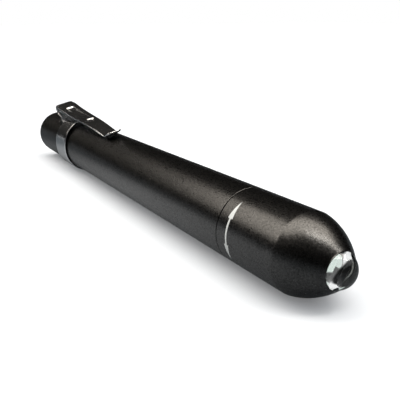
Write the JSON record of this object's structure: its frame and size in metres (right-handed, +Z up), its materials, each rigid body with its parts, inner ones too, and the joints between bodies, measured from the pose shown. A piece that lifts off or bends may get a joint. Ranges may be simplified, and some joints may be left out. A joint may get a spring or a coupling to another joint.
{
  "type": "flashlight",
  "caption": "Slim round penlight with a twist head, a ball-fronted lens in a blunt nose and a folded spring clip near the tail.",
  "frame": {"origin": "under the middle of the light's length, on the surface that it lies on", "axes": "+X along the light towards the lens, +Z up, the clip on top and leaning 13 degrees towards -Y"},
  "size_m": [0.132, 0.0148, 0.0195],
  "materials": {
    "black_anodised": "fine matt black anodising",
    "dark_spring_steel": "dark polished spring steel",
    "spring_wire": "bright drawn wire",
    "cell_can": "nickel plated",
    "cell_sleeve": "plain shrink sleeve",
    "black_rubber": "matt",
    "clear_glass": "clear and polished",
    "white_plastic": "matt",
    "white_board": "white solder mask",
    "led_ceramic": "matt ceramic",
    "led_phosphor": "clear silicone over yellow phosphor",
    "bare_aluminium": "turned",
    "tinned_copper": "tinned",
    "green_board": "green solder mask",
    "black_plastic": "moulded",
    "brass": "turned",
    "fibre_washer": "pressed fibre"
  },
  "bodies": {
    "tube": {"barrel": "black_anodised", "clip_band": "dark_spring_steel", "neck_oring": "black_rubber", "tail_spring": "spring_wire"},
    "clip": {"clip_arm": "dark_spring_steel"},
    "cells": {"battery_front": "cell_can", "battery_front_sleeve": "cell_sleeve", "battery_rear": "cell_can", "battery_rear_sleeve": "cell_sleeve"},
    "head": {"head_shell": "black_anodised", "lens": "clear_glass", "lens_oring": "black_rubber", "lens_spacer": "white_plastic", "led_board": "white_board", "led_package": "led_ceramic", "led_dome": "led_phosphor", "led_housing": "bare_aluminium", "led_lead_left": "tinned_copper", "led_lead_right": "tinned_copper", "driver_board": "green_board", "driver_chip": "black_plastic", "driver_coil": "black_plastic", "positive_contact": "brass", "polarity_ring": "fibre_washer"}
  },
  "joints": [
    {"name": "cell_slide", "type": "slide", "parent": "tube", "child": "cells", "axis": [1, 0, 0], "range_m": [-0.00019, 0.0045], "deforming": ["tail_spring"]},
    {"name": "head_twist", "type": "hinge", "parent": "cells", "child": "head", "pos_m": [0.04036, 0, 0.00738], "axis": [1, 0, 0], "range_deg": [-90, 2160]},
    {"name": "clip_flex", "type": "hinge", "parent": "tube", "child": "clip", "pos_m": [-0.05112, -0.00231, 0.01739], "axis": [0, -0.9744, -0.225], "range_deg": [0, 7], "stiffness_Nm_per_rad": 1.5, "springref_deg": -2.86}
  ],
  "couplings": [
    {"joint": "head_twist", "follows": "cell_slide", "rad_per_m": 8377.6}
  ]
}
